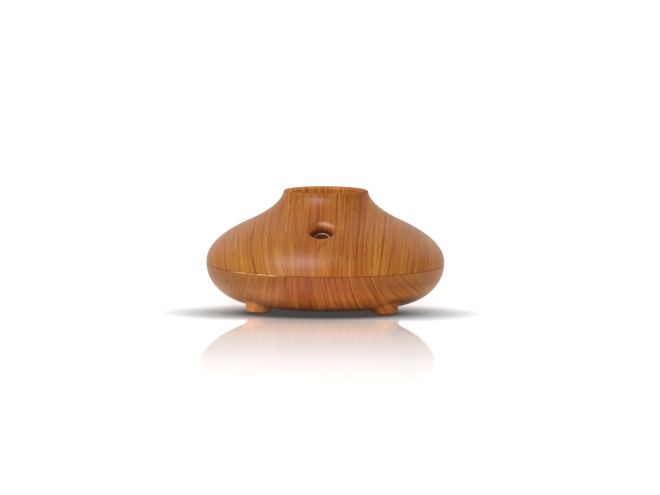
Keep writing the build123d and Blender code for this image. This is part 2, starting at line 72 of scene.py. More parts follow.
class Graph:
    """A material's node tree, with short calls for the nodes that the materials share."""

    def __init__(self, name, **settings):
        self.material = bpy.data.materials.new(name)
        self.material.use_nodes = True
        self.tree = self.material.node_tree
        self.shader = self.tree.nodes["Principled BSDF"]
        for key, value in settings.items():
            socket = key.replace("_", " ").title().replace("Ior", "IOR")
            self.shader.inputs[socket].default_value = value

    def node(self, kind, links=None, **settings):
        """A node, its settings, and what goes in each socket: another socket or a value."""
        made = self.tree.nodes.new(kind)
        for key, value in settings.items():
            setattr(made, key, value)
        for key, value in (links or {}).items():
            self.feed(made.inputs[key], value)
        return made

    def feed(self, socket, value):
        """Links a socket into this one, or sets this one to a value; None leaves it alone."""
        if isinstance(value, bpy.types.NodeSocket):
            self.tree.links.new(value, socket)
        elif value is not None:
            is_rgb = socket.type == "RGBA" and len(value) == 3
            socket.default_value = (*value, 1) if is_rgb else value

    def math(self, operation, a, b=None, c=None):
        return self.node("ShaderNodeMath", {0: a, 1: b, 2: c}, operation=operation).outputs[0]

    def product(self, first, *others):
        for other in others:
            first = self.math("MULTIPLY", first, other)
        return first

    def place(self):
        """X, Y and Z in the CAD model's frame, in millimetres, as sockets."""
        point = self.node("ShaderNodeTexCoord").outputs["Object"]
        scaled = self.node("ShaderNodeVectorMath", {0: point, "Scale": 1 / MM}, operation="SCALE")
        return list(self.node("ShaderNodeSeparateXYZ", {0: scaled.outputs[0]}).outputs)

    def vector(self, x, y, z):
        return self.node("ShaderNodeCombineXYZ", {0: x, 1: y, 2: z}).outputs[0]

    def noise(self, x, y, z, detail=2.0, roughness=0.5):
        """Noise from 0 to 1 at a point whose coordinates are sockets or (socket, factor) pairs."""
        axes = [self.product(*v) if isinstance(v, tuple) else v for v in (x, y, z)]
        links = {"Vector": self.vector(*axes), "Scale": 1.0, "Detail": detail,
                 "Roughness": roughness}
        return self.node("ShaderNodeTexNoise", links).outputs["Fac"]

    def span(self, value, low, high, to_low=0.0, to_high=1.0, smooth=False):
        """value carried from low..high to to_low..to_high, and held at the ends."""
        links = {"Value": value, "From Min": low, "From Max": high, "To Min": to_low,
                 "To Max": to_high}
        kind = "SMOOTHSTEP" if smooth else "LINEAR"
        return self.node("ShaderNodeMapRange", links, interpolation_type=kind).outputs["Result"]

    def ramp(self, factor, stops):
        """A colour ramp through (position, colour) stops, where a colour is (r, g, b) or a grey."""
        made = self.node("ShaderNodeValToRGB", {"Fac": factor})
        elements = made.color_ramp.elements
        while len(elements) < len(stops):
            elements.new(0.5)
        for element, (position, colour) in zip(elements, stops):
            element.position = position
            element.color = (*(colour if isinstance(colour, tuple) else (colour,) * 3), 1)
        return made.outputs["Color"]

    def mix(self, factor, a, b, blend="MIX"):
        """Two colours mixed; a and b are sockets or (r, g, b)."""
        made = self.node("ShaderNodeMix", data_type="RGBA", blend_type=blend)
        self.feed(made.inputs["Factor"], factor)
        for name, value in (("A", a), ("B", b)):
            socket = [s for s in made.inputs if s.name == name and s.type == "RGBA"][0]
            self.feed(socket, value)
        return [s for s in made.outputs if s.type == "RGBA"][0]

    def finish(self, colour, roughness, height, depth):
        """Puts the colour, the roughness and a bump of this depth on the shader."""
        self.feed(self.shader.inputs["Base Color"], colour)
        self.feed(self.shader.inputs["Roughness"], roughness)
        bump = self.node("ShaderNodeBump", {"Height": height, "Distance": depth, "Strength": 1.0})
        self.feed(self.shader.inputs["Normal"], bump.outputs[0])
        return self.material


# ---- wood-grain film -----------------------------------------------------------------------------
SEAM_Z = 18.5
BODY_R = 52.0
COLLAR_BORE_R = 16.6
COLLAR_FOOT_Z = 40.0
RIM_Z = (49.7, 50.3)                    # the film turns dull between these heights
OUTLET = Vector((0, -34.6, 36.68))      # where the mist hole's axis meets the shoulder
OUTLET_AXIS = Vector((0, -0.4282, 0.9037))

# For each film:
#   seed     keeps its noises apart from the other's
#   streaks  strength of the streaks about 1 mm wide
#   fibres   strength of the fibres in them
#   veins    strong dark growth lines: distance across the grain, half width, strength
#   tones    how light it is at distances across the grain, from 0 to 1
#   colours  what those tones look like, from dark red-brown to light ochre
UPPER_FILM = {
    "seed": 0.0,
    "streaks": 1.05,
    "fibres": 0.65,
    "veins": [(-46.5, 0.7, 0.35), (-37.4, 0.5, 0.4), (-32.3, 0.4, 0.4), (-30.2, 0.7, 0.85),
              (-27.2, 0.4, 0.5), (-25.5, 0.5, 0.5), (-22.5, 0.6, 0.6), (-1.6, 0.4, 0.3),
              (5.8, 0.55, 0.75), (7.7, 0.4, 0.4), (9.7, 0.55, 0.8), (11.4, 0.45, 0.6),
              (13.6, 0.4, 0.4), (15.7, 0.75, 0.95), (18.0, 0.5, 0.75), (20.3, 0.4, 0.45),
              (22.4, 0.6, 0.65), (26.6, 0.75, 0.9), (30.6, 0.4, 0.4), (34.2, 0.4, 0.45),
              (37.3, 0.5, 0.5), (39.6, 0.4, 0.45), (42.6, 0.5, 0.4)],
    "tones": [(-52, 0.36), (-44, 0.42), (-36, 0.50), (-21, 0.50), (-14, 0.42), (-5, 0.27),
              (2, 0.38), (8, 0.43), (16, 0.35), (20, 0.50), (28, 0.48), (40, 0.38), (52, 0.44)],
    "colours": [(110, 50, 12), (140, 74, 22), (155, 94, 31), (167, 110, 41), (185, 138, 66)],
}
LOWER_FILM = {
    "seed": 60.0,
    "streaks": 1.22,
    "fibres": 0.9,
    "veins": [(-38.8, 0.6, 0.3), (-23.8, 0.5, 0.3), (-18.6, 0.7, 0.4), (-13.5, 1.0, 0.6),
              (-5.4, 1.2, 0.7), (0.2, 0.6, 0.3), (5.8, 0.6, 0.35), (12.0, 0.5, 0.3),
              (19.0, 0.6, 0.4)],
    "tones": [(-52, 0.58), (-38, 0.60), (-25, 0.54), (-17, 0.28), (-8, 0.30), (-4, 0.20),
              (3, 0.26), (12, 0.34), (26, 0.40), (40, 0.62), (52, 0.66)],
    "colours": [(101, 46, 20), (130, 70, 28), (146, 89, 38), (157, 104, 48), (174, 131, 76)],
}
VEIN_BROWN = srgb(120, 54, 12)
SEAM_PAINTED_HIGHLIGHT = srgb(235, 196, 140)
BELLY_PAINTED_LIGHT = srgb(212, 160, 122)
# painted sheen and highlight for the upper shell
SHOULDER_PAINTED_SHEEN = srgb(208, 186, 160)
HOLE_PAINTED_HIGHLIGHT = srgb(196, 148, 104)
# painted shade for the mist hole's wall
HOLE_WALL_SHADE = srgb(122, 56, 20)
# painted light that lifts the shade inside the collar
COLLAR_PAINTED_LIGHT = (1.5, 1.65, 2.2)


def radius_of(g, x, y):
    """The distance from the body's axis."""
    return g.math("SQRT", g.math("MULTIPLY_ADD", x, x, g.product(y, y)))


def side_mask(g, x, power):
    """0 in the middle and 1 at the body's left and right ends; a higher power keeps to the ends."""
    return g.math("POWER", g.math("ABSOLUTE", g.math("DIVIDE", x, BODY_R)), power)


def upper_grain(g, x, z, radius):
    """The place along the upper film's grain, and how far the grain is drawn in at the seam."""
    along = g.math("MULTIPLY_ADD", radius, -0.9, z)
    pull = g.math("POWER", g.span(z, 34.0, SEAM_Z), 2.0)
    left = g.span(x, -8.0, -17.0, 0.0, 2.9, smooth=True)
    far_left = g.span(x, -38.0, -50.0, 0.0, 7.0, smooth=True)
    right = g.span(x, 19.0, 29.0, 0.0, 1.7, smooth=True)
    reach = g.math("SUBTRACT", g.math("ADD", left, far_left), right)
    return along, g.product(pull, reach)


def lower_grain(g, x, z, radius):
    """The same for the lower film, which slants under the belly, and most on the right."""
    along = g.math("MULTIPLY_ADD", radius, 0.9, z)
    drop = g.math("SUBTRACT", SEAM_Z, z)
    right = g.math("POWER", g.span(x, 16.0, 44.0), 2.0)
    slope = g.math("MULTIPLY_ADD", right, 0.35, g.math("MULTIPLY_ADD", x, 0.011, 0.12))
    return along, g.product(drop, slope)


def grain_place(g, x, y, z, below_seam):
    """Sockets for the distance across the grain and along it; the grain wraps at the far sides."""
    radius = radius_of(g, x, y)
    wrapped = g.product(radius, g.math("ARCSINE", g.math("DIVIDE", x, radius)))
    ends = side_mask(g, x, 8.0)
    across = g.math("MULTIPLY_ADD", g.math("SUBTRACT", wrapped, x), ends, x)
    across = g.math("MULTIPLY_ADD", g.product(ends, y), 0.25, across)
    along, shift = (lower_grain if below_seam else upper_grain)(g, x, z, radius)
    across = g.math("SUBTRACT", across, shift)
    seed = (LOWER_FILM if below_seam else UPPER_FILM)["seed"]
    broad = g.noise((across, 0.05), (along, 0.016), seed, detail=1.0)
    wobble = g.noise((across, 0.25), (along, 0.045), seed + 9.0)
    for warp, reach in ((broad, 0.9), (wobble, 0.5)):
        across = g.math("MULTIPLY_ADD", g.math("SUBTRACT", warp, 0.5), reach, across)
    return across, along


def film_tone(g, across, along, film):
    """How light the film is, and the streaks and fibres that its gloss and relief share."""
    seed = film["seed"]
    stops = [((place + BODY_R) / (2 * BODY_R), tone) for place, tone in film["tones"]]
    tone = g.ramp(g.span(across, -BODY_R, BODY_R), stops)
    bands = g.noise((across, 0.32), (along, 0.015), seed + 20.0, roughness=0.6)
    streaks = g.noise((across, 1.25), (along, 0.014), seed + 24.0, roughness=0.6)
    fibres = g.noise((across, 3.0), (along, 0.05), seed + 28.0, roughness=0.6)
    for noise, strength in ((bands, 0.45), (streaks, film["streaks"]), (fibres, film["fibres"])):
        tone = g.math("MULTIPLY_ADD", g.math("SUBTRACT", noise, 0.5), strength, tone)
    layers = g.noise((across, 0.11), (along, 0.012), seed + 32.0, detail=1.0)
    ring = g.math("FRACT", g.product(layers, 19.0))
    onset = g.span(ring, 0.40, 0.88, smooth=True)
    end = g.span(ring, 0.93, 1.0, 1.0, 0.0, smooth=True)
    fade = g.span(g.noise((across, 0.6), (along, 0.06), seed + 36.0), 0.36, 0.64, 0.2, 1.0)
    return g.math("MULTIPLY_ADD", g.product(onset, end, fade), -0.16, tone), streaks, fibres


def veins(g, across, along, film):
    """The strong lines together, each fading in and out along its length."""
    total = 0.0
    for i, (place, half, strength) in enumerate(film["veins"]):
        away = g.math("ABSOLUTE", g.math("SUBTRACT", across, place))
        fade = g.noise(film["seed"] + 3.1 * i, (along, 0.07), 0.0, detail=1.0)
        depth = g.product(g.span(fade, 0.30, 0.55, 0.45, 1.0), strength)
        line = g.product(g.span(away, half * 1.2, half * 0.1, smooth=True), depth)
        total = g.math("MAXIMUM", total, line)
    return total


def upper_seam_tone(g, x, z, tone):
    """Above the seam, painted shade a little darker from the middle leftwards, and painted light at
    the far left.
    """
    near = g.span(z, 31.0, 22.0)
    tone = g.math("MULTIPLY_ADD", g.product(near, g.span(x, 20.0, 8.0)), -0.04, tone)
    return g.math("MULTIPLY_ADD", g.product(near, g.span(x, -22.0, -32.0)), 0.20, tone)


def upper_paint(g, x, y, z, colour):
    """Painted light inside the collar, painted sheen at the sides and a painted highlight over the
    seam, and painted shade in the mist hole.
    """
    # painted light: the collar's inside is lightened where shade falls
    in_bore = g.math("LESS_THAN", radius_of(g, x, y), COLLAR_BORE_R)
    inside = g.product(in_bore, g.math("GREATER_THAN", z, COLLAR_FOOT_Z))
    colour = g.mix(inside, colour, g.mix(1.0, colour, COLLAR_PAINTED_LIGHT, "MULTIPLY"))
    # painted sheen at the far sides, and a painted highlight above the seam, left of the middle
    sides = g.product(side_mask(g, x, 6.0), g.span(z, 22.0, 30.0, 0.0, 0.25))
    from_patch = g.math("ABSOLUTE", g.math("ADD", x, 12.0))
    patch = g.product(g.span(from_patch, 16.0, 6.0), g.span(z, 31.0, 24.0),
                      g.span(y, 0.0, -10.0, 0.0, 0.07))
    colour = g.mix(g.math("ADD", sides, patch), colour, SHOULDER_PAINTED_SHEEN)
    hole = outlet_place(g, x, y, z)
    # painted highlight on the hole's uphill rounding
    colour = g.mix(g.product(crescent_highlight_mask(g, x, hole), 0.4), colour, HOLE_PAINTED_HIGHLIGHT)
    # painted shade on the mist hole's wall
    return g.mix(hole_shade_mask(g, hole), colour, HOLE_WALL_SHADE)


def lower_paint(g, x, y, z, colour):
    """Painted light low on the belly and paler at its left, painted shade at the right foot, and a
    painted highlight at the seam.
    """
    front = g.span(y, 0.0, -6.0)
    # painted light low on the belly, against the floor's shadow under it
    outer = g.span(g.math("ABSOLUTE", x), 14.0, 30.0, 0.48, 1.45)
    painted_light_and_shade = g.math("MULTIPLY_ADD", g.span(z, 13.0, 3.0), outer, 0.96)
    # painted shade on the front of the right foot
    right_foot_shade = g.product(g.span(x, 27.0, 31.0), g.span(z, 8.5, 6.0, 0.0, 0.45), front)
    painted_light_and_shade = g.product(painted_light_and_shade, g.math("SUBTRACT", 1.0, right_foot_shade))
    colour = g.mix(1.0, colour, g.vector(g.product(painted_light_and_shade, 1.05), painted_light_and_shade, painted_light_and_shade), "MULTIPLY")
    # painted light, pale, low on the front left of the belly
    left = g.product(g.span(x, -12.0, -24.0), g.span(z, 16.0, 9.0, 0.0, 0.22), front)
    colour = g.mix(left, colour, BELLY_PAINTED_LIGHT)
    # painted highlight on the seam's lower lip, broken into short pieces, front left only
    highlight_breaks = g.span(g.noise((x, 0.5), y, 3.0), 0.42, 0.55)
    lip_highlight = g.product(g.span(z, SEAM_Z - 0.42, SEAM_Z - 0.2), highlight_breaks, g.span(x, -14.0, -17.0),
                       g.span(x, -40.0, -34.0), g.span(y, 0.0, -2.0))
    return g.mix(lip_highlight, colour, SEAM_PAINTED_HIGHLIGHT)


def wood(name, below_seam):
    """Satin film printed with straight grain that runs down the front, over brown plastic."""
    g = Graph(name, specular_ior_level=0.10)
    film = LOWER_FILM if below_seam else UPPER_FILM
    x, y, z = g.place()
    across, along = grain_place(g, x, y, z, below_seam)
    tone, streaks, fibres = film_tone(g, across, along, film)
    if not below_seam:
        tone = upper_seam_tone(g, x, z, tone)
    last = len(film["colours"]) - 1
    colour = g.ramp(tone, [(i / last, srgb(*c)) for i, c in enumerate(film["colours"])])
    dark = veins(g, across, along, film)
    colour = g.mix(g.product(dark, 0.9), colour, VEIN_BROWN)
    colour = (lower_paint if below_seam else upper_paint)(g, x, y, z, colour)
    relief = g.math("MULTIPLY_ADD", dark, -0.6, g.product(fibres, 0.5))
    roughness = g.span(streaks, 0.3, 0.7, 0.33, 0.40)
    roughness = g.math("MULTIPLY_ADD", g.span(z, *RIM_Z), 0.45, roughness)
    return g.finish(colour, roughness, relief, 0.02 * MM)


# ---- the mist hole, its nozzle and its duct ------------------------------------------------------
def outlet_place(g, x, y, z):
    """Sockets for the height along the mist hole's axis, the distance uphill, and the radius."""
    back = g.math("SUBTRACT", y, OUTLET.y)
    up = g.math("SUBTRACT", z, OUTLET.z)
    height = g.math("MULTIPLY_ADD", back, OUTLET_AXIS.y, g.product(up, OUTLET_AXIS.z))
    uphill = g.math("MULTIPLY_ADD", back, OUTLET_AXIS.z, g.product(up, -OUTLET_AXIS.y))
    away = g.math("SQRT", g.math("MULTIPLY_ADD", x, x, g.product(uphill, uphill)))
    return height, uphill, away


def hole_shade_mask(g, hole):
    """1 on the mist hole's wall, where painted shade darkens the film; it starts deeper on the
    uphill side, which stays lit.
    """
    height, uphill, away = hole
    start = g.product(g.span(uphill, -2.0, 4.0), 1.1)
    wall = g.span(g.math("ADD", height, start), -0.9, -2.2, smooth=True)
    return g.product(wall, g.span(away, 7.0, 6.0))


def crescent_highlight_mask(g, x, hole):
    """1 on the uphill, right-hand part of the hole's rounding, where a painted highlight lightens
    the film.
    """
    _, uphill, away = hole
    inner = g.span(away, 4.7, 5.6, smooth=True)
    outer = g.span(away, 7.2, 6.2, smooth=True)
    return g.product(inner, outer, g.span(uphill, 2.0, 4.5), g.span(x, -3.0, 1.0, smooth=True))


def nozzle_finish():
    """Grey glossy plastic, with painted shade inside its bore and on its left."""
    g = Graph("nozzle_grey", specular_ior_level=0.45)
    x, y, z = g.place()
    away = outlet_place(g, x, y, z)[2]
    drift = g.noise((x, 0.8), (y, 0.8), (z, 0.8), detail=3.0)
    tint = g.mix(drift, srgb(144, 116, 98), srgb(166, 138, 118))
    # painted shade on the nozzle's left, where the hole's left wall shades it
    tint = g.mix(g.span(x, -0.4, -2.4, 0.0, 0.9, smooth=True), tint, srgb(64, 36, 24))
    # painted shade inside the bore
    tint = g.mix(g.span(away, 2.95, 2.82), tint, srgb(124, 70, 42))
    return g.finish(tint, g.span(drift, 0.3, 0.7, 0.24, 0.34), drift, 0.01 * MM)


def duct_finish():
    """White plastic, with painted brown shade at its upper end, where the mist passes."""
    g = Graph("duct_white")
    x, y, z = g.place()
    away = outlet_place(g, x, y, z)[2]
    drift = g.noise((x, 0.4), (y, 0.4), (z, 0.4), detail=3.0)
    tint = g.mix(drift, srgb(206, 206, 200), srgb(220, 220, 214))
    # painted shade at the duct's upper end, under the nozzle
    tint = g.mix(g.span(away, 3.6, 3.0), tint, srgb(132, 78, 50))
    return g.finish(tint, g.span(drift, 0.3, 0.7, 0.40, 0.50), drift, 0.015 * MM)


# ---- plain materials -----------------------------------------------------------------------------
def moulded(name, colour, roughness, grain):
    """Moulded plastic or rubber with a fine even grain and a slow drift of its colour and gloss."""
    g = Graph(name)
    x, y, z = g.place()
    drift = g.noise((x, 0.12), (y, 0.12), (z, 0.12), detail=3.0)
    fine = g.noise((x, 3.0), (y, 3.0), (z, 3.0))
    tint = g.mix(drift, tuple(c * (1 - grain) for c in colour), colour)
    rough = g.span(fine, 0.3, 0.7, roughness - 0.04, roughness + 0.05)
    return g.finish(tint, rough, fine, 0.015 * MM)


def metal(name, colour, roughness):
    """Metal with fine drawn lines."""
    g = Graph(name, metallic=1.0)
    x, y, z = g.place()
    lines = g.noise((x, 6.0), (y, 6.0), (z, 0.5))
    tint = g.mix(lines, tuple(c * 0.86 for c in colour), colour)
    rough = g.span(lines, 0.3, 0.7, roughness - 0.06, roughness + 0.08)
    return g.finish(tint, rough, lines, 0.01 * MM)


def board(name):
    """Solder mask over a pattern of tracks."""
    g = Graph(name, coat_weight=0.4, coat_roughness=0.2)
    links = {"Vector": g.vector(*g.place()), "Scale": 0.35}
    tracks = g.node("ShaderNodeTexVoronoi", links, distance="CHEBYCHEV")
    mask = g.span(tracks.outputs["Distance"], 0.42, 0.46)
    colour = g.mix(mask, srgb(18, 84, 44), srgb(10, 58, 32))
    return g.finish(colour, 0.35, mask, 0.03 * MM)


def finishes():
    """The material of each of the record's slots, by name."""
    plastics = {
        "adapter_white": (srgb(192, 189, 181), 0.38, 0.06),
        "basin_white": (srgb(200, 200, 194), 0.42, 0.05),
        "foot_rubber": (srgb(42, 36, 33), 0.75, 0.15),
        "silicone": (srgb(214, 210, 202), 0.6, 0.05),
        "fan_black": (srgb(34, 34, 36), 0.5, 0.15),
        "ferrite": (srgb(62, 60, 60), 0.6, 0.15),
        "can_sleeve": (srgb(36, 42, 60), 0.3, 0.1),
        "chip_black": (srgb(40, 40, 40), 0.5, 0.15),
        "lead_red": (srgb(190, 40, 34), 0.4, 0.08),
        "button_brown": (srgb(104, 66, 44), 0.25, 0.08),
    }
    metals = {
        "screw_steel": ((0.62, 0.62, 0.63), 0.32),
        "spring_steel": ((0.70, 0.70, 0.71), 0.22),
        "disc_ceramic": ((0.80, 0.78, 0.74), 0.35),
        "bronze": ((0.62, 0.42, 0.22), 0.4),
        "shaft_steel": ((0.75, 0.75, 0.77), 0.18),
        "stator_core": ((0.55, 0.30, 0.15), 0.4),
        "sink_aluminium": ((0.72, 0.72, 0.73), 0.35),
        "jack_steel": ((0.74, 0.74, 0.75), 0.25),
    }
    made = {"nozzle_grey": nozzle_finish(), "duct_white": duct_finish(),
            "board_green": board("board_green")}
    made.update({name: moulded(name, *look) for name, look in plastics.items()})
    made.update({name: metal(name, *look) for name, look in metals.items()})
    return made


def dress(nodes, record, made):
    """Gives the two shells their wood, and each other CAD node its slot's material."""
    slot_of = {part["node"]: part["material_slot"] for part in record["subparts"]}
    shells = {"upper_shell": wood("wood_upper", False), "lower_shell": wood("wood_lower", True)}
    for name, node in nodes.items():
        node.data.materials.clear()
        node.data.materials.append(shells[name] if name in shells else made[slot_of[name]])


# ---- studio --------------------------------------------------------------------------------------
# the shadow is an ellipse on the floor, turned so that it looks level to the rolled camera
SHADOW_REACH = (0.0755, 0.035)
SHADOW_Y = -0.0287
ROLL_SLOPE = -0.069
# the mirror lies tilted, so that the reflection is stretched and leans to the left
MIRROR_NORMAL = (0.073, 0.0175, 0.997)
# (position, value) stops between two places in front of the body, the farther one first
POLISH_Y = (-0.30, -0.05)
POLISH = [(0.0, 0.08), (0.18, 0.14), (0.336, 0.20), (0.50, 0.265), (0.612, 0.375), (0.732, 0.465),
          (0.828, 0.56), (0.904, 0.65)]
OUTLINE_Y = (-0.190, -0.045)            # half the polished patch's width, in tenths of a metre
OUTLINE = [(0.0, 0.482), (0.20, 0.472), (0.34, 0.458), (0.48, 0.438), (0.60, 0.415), (0.69, 0.390),
           (0.785, 0.358), (0.85, 0.334), (0.90, 0.322)]
SPILL_Y = (-0.12, -0.04)                # strength of the warm light in front of the body
SPILL = [(0.0, 0.0), (0.34, 0.32), (0.57, 0.60), (0.81, 0.45), (0.95, 0.0)]
SPILL_HALF_WIDTH = (0.042, 0.028)       # it starts to fade at the second, and ends at the first
FLOOR_GLOW = (0.80, 0.80, 0.80)
FLOOR_PAINT = (0.28, 0.28, 0.28)
SPILL_GLOW = (1.75, 1.18, 0.90)
SHADOW_GLOW = (0.062, 0.056, 0.050)
SHADOW_PAINT = (0.03, 0.03, 0.03)
MIRROR_ROUGHNESS = 0.06
LIGHT_AZIMUTH = -25
LIGHT_DISTANCE = 1.2


def floor_polish(g, x, y, shade):
    """How much of the mirror shows: less in the shadow and farther in front, none past OUTLINE."""
    polish = g.ramp(g.span(y, *POLISH_Y), POLISH)
    beside = g.product(g.span(shade, 0.0, 0.35), g.span(y, -0.060, -0.042, 0.0, 0.95))
    side = g.math("ABSOLUTE", g.product(g.math("MULTIPLY_ADD", y, 0.034, x), 10.0))
    part = g.math("DIVIDE", side, g.ramp(g.span(y, *OUTLINE_Y), OUTLINE))
    return g.product(polish, g.math("SUBTRACT", 1.0, beside), g.span(part, 1.02, 0.98))


def floor_finish(middle_y):
    """A bright white floor with a flat soft shadow under the body, and a polished patch."""
    g = Graph("floor")
    point = g.node("ShaderNodeTexCoord").outputs["Object"]
    x, y, _ = g.node("ShaderNodeSeparateXYZ", {0: point}).outputs
    y = g.math("ADD", y, middle_y)
    level_y = g.math("MULTIPLY_ADD", x, ROLL_SLOPE, y)
    across = g.math("DIVIDE", x, SHADOW_REACH[0])
    back = g.math("DIVIDE", g.math("SUBTRACT", level_y, SHADOW_Y), SHADOW_REACH[1])
    shade = g.span(radius_of(g, across, back), 1.0, 0.42)
    spill = g.product(g.ramp(g.span(y, *SPILL_Y), SPILL),
                      g.span(g.math("ABSOLUTE", x), *SPILL_HALF_WIDTH))
    glow_colour = g.mix(shade, g.mix(spill, FLOOR_GLOW, SPILL_GLOW), SHADOW_GLOW)
    paint_colour = g.mix(shade, FLOOR_PAINT, SHADOW_PAINT)
    glow = g.node("ShaderNodeEmission", {"Color": glow_colour})
    paint = g.node("ShaderNodeBsdfDiffuse", {"Color": paint_colour})
    mirror = g.node("ShaderNodeBsdfGlossy", {"Color": (1.0, 1.0, 1.0),
                                             "Roughness": MIRROR_ROUGHNESS,
                                             "Normal": g.vector(*MIRROR_NORMAL)})
    lit = g.node("ShaderNodeAddShader", {0: glow.outputs[0], 1: paint.outputs[0]})
    polish = floor_polish(g, x, y, shade)
    both = g.node("ShaderNodeMixShader", {0: polish, 1: lit.outputs[0], 2: mirror.outputs[0]})
    g.feed(g.tree.nodes["Material Output"].inputs["Surface"], both.outputs[0])
    return g.material


def direction(azimuth, elevation):
    """A unit vector from the body. Azimuth 0 is in front, and grows to the right; in degrees."""
    a, e = math.radians(azimuth), math.radians(elevation)
    return Vector((math.sin(a) * math.cos(e), -math.cos(a) * math.cos(e), math.sin(e)))


def softbox(name, elevation, width, height, power, only_shine):
    """An area light at the front left, aimed at the body; only_shine hides it from matt paint."""
    middle = Vector((0, 0, 25 * MM))
    away = direction(LIGHT_AZIMUTH, elevation)
    light = bpy.data.lights.new(name, "AREA")
    light.shape = "RECTANGLE"
    light.size, light.size_y = width, height
    light.energy = power
    made = bpy.data.objects.new(name, light)
    made.visible_diffuse = not only_shine
    made.location = middle + LIGHT_DISTANCE * away
    made.rotation_euler = (-away).to_track_quat("-Z", "Y").to_euler()
    bpy.context.scene.collection.objects.link(made)


def studio():
    """A white world, two softboxes, and a floor that reaches far behind the body."""
    world = bpy.data.worlds.new("studio")
    bpy.context.scene.world = world
    world.use_nodes = True
    background = world.node_tree.nodes["Background"]
    background.inputs["Color"].default_value = (1, 1, 1, 1)
    background.inputs["Strength"].default_value = 1.0
    floor_size, floor_y = 14, 3
    bpy.ops.mesh.primitive_plane_add(size=floor_size, location=(0, floor_y, 0))
    floor = bpy.context.object
    floor.name = "floor"
    floor.data.materials.append(floor_finish(floor_y))
    softbox("key", 48, 0.50, 0.80, 6.4, only_shine=False)
    softbox("shine", 47, 0.80, 0.90, 28.0, only_shine=True)


def camera():
    """A long lens, low in front, a little to the right and rolled by half a degree."""
    azimuth, elevation, roll = 2.9, 6.5, 0.45
    distance = 1.7456
    target = Vector((0, 0, 24.2 * MM))
    away = direction(azimuth, elevation)
    data = bpy.data.cameras.new("camera")
    data.sensor_width = 36
    data.lens = 218
    data.shift_x = 0.0069
    data.shift_y = 0.0038
    made = bpy.data.objects.new("camera", data)
    turn = (-away).to_track_quat("-Z", "Y").to_matrix()
    turn = turn @ Matrix.Rotation(math.radians(roll), 3, "Z")
    made.matrix_world = Matrix.Translation(target + distance * away) @ turn.to_4x4()
    bpy.context.scene.collection.objects.link(made)
    bpy.context.scene.camera = made
    bpy.context.scene.view_settings.view_transform = "Standard"


# ---- pieces that stand beside the CAD nodes, in millimetres --------------------------------------
THREAD_R = 12.9
THREAD_PITCH = 2.7
THREAD_TURNS = 2.6
THREAD_DROP = 1.8                       # from the adapter's top to the thread's upper end
THREAD_RIDGE_R = 0.55
THREAD_RUN_OUT = 14                     # rings over which each end of the ridge narrows
GRIP_COUNT = 18
GRIP_R = 14.0
GRIP_HALF_SIZE = (0.75, 0.36, 0.30)
SPRING_WIRE_R = 0.25
SPRING_TURNS = 3.5
WINDING_WIRE_R = 0.2
WINDING_CORE_R = 3.6
WINDING_TURNS = 9
FLANGE = 1.0
# surface-mount parts on the driver board: x, y, and whether they lie along X
DRIVER_CHIPS = [(26.0, -3.4, False), (26.0, 0.2, False), (26.0, 3.8, False), (35.6, 9.6, True),
                (39.6, 9.6, True), (35.6, 11.6, True), (33.4, -11.6, True), (29.2, -11.8, True)]
CHIP_LONG, CHIP_SHORT, CHIP_THICK = 2.0, 1.2, 0.6
CHIP_PAD = 1.15                         # from a chip's middle to the solder at each end
CHIP_SOLDER = (0.45, 0.45)              # radius and height
LEAD_SOLDER = (0.95, 0.7)
JACK_CHIPS = [(-1.6, 33.6), (1.6, 33.6), (0.0, 36.6)]
JACK_CHIP_SIZE = (1.6, 0.9, 0.5)
LEAD_ENDS = [(26.5, -8.0), (28.4, -8.4), (24.6, 9.4), (26.2, 7.6), (29.5, 9.2), (32.5, 9.2),
             (13.0, 33.0)]
CONTACT_PITCH = 0.85
CONTACT_SIZE = (0.4, 4.2, 0.14)
CONTACT_BACK = 3.4                      # from the socket's mouth to a contact's middle
CONTACT_Z = 1.74                        # above the socket's underside


def piece(name, mesh, material, body):
    """Shows a bmesh as a piece that rides on a body; body is None for a piece that rides on none.
    """
    bmesh.ops.scale(mesh, vec=(MM, MM, MM), verts=mesh.verts)
    bmesh.ops.recalc_face_normals(mesh, faces=mesh.faces)
    data = bpy.data.meshes.new(name)
    mesh.to_mesh(data)
    mesh.free()
    for face in data.polygons:
        face.use_smooth = True
    made = bpy.data.objects.new(name, data)
    data.materials.append(material)
    bpy.context.scene.collection.objects.link(made)
    if body:
        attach(made, body)
    return made


def ring(mesh, middle, radius, side, other, sides):
    """A circle of vertices in the plane of two unit vectors."""
    turns = [2 * math.pi * k / sides for k in range(sides)]
    return [mesh.verts.new(middle + radius * (math.cos(t) * side + math.sin(t) * other))
            for t in turns]


def skin(mesh, rings):
    """A closed surface through rings of as many vertices."""
    sides = len(rings[0])
    for a, b in zip(rings, rings[1:]):
        for k in range(sides):
            mesh.faces.new((a[k], a[(k + 1) % sides], b[(k + 1) % sides], b[k]))
    mesh.faces.new(list(reversed(rings[0])))
    mesh.faces.new(rings[-1])


def tube(mesh, points, radius, sides, taper=0):
    """A round wire through points; where taper is set, that many rings narrow at each end."""
    rings = []
    last = len(points) - 1
    side = Vector((0, 0, 1))
    for i, point in enumerate(points):
        along = (points[min(i + 1, last)] - points[max(i - 1, 0)]).normalized()
        side = (side - along * side.dot(along)).normalized()
        from_end = min(i, last - i)
        r = radius * (min(1.0, 0.15 + from_end / taper) if taper else 1.0)
        rings.append(ring(mesh, point, r, side, along.cross(side), sides))
    skin(mesh, rings)


def helix(middle, radius, z0, z1, turns, steps):
    """Points up a helix round an upright line through middle, with so many steps to a turn."""
    count = int(turns * steps)
    points = []
    for i in range(count + 1):
        angle = 2 * math.pi * turns * i / count
        points.append(Vector((middle[0] + radius * math.cos(angle),
                              middle[1] + radius * math.sin(angle), z0 + (z1 - z0) * i / count)))
    return points


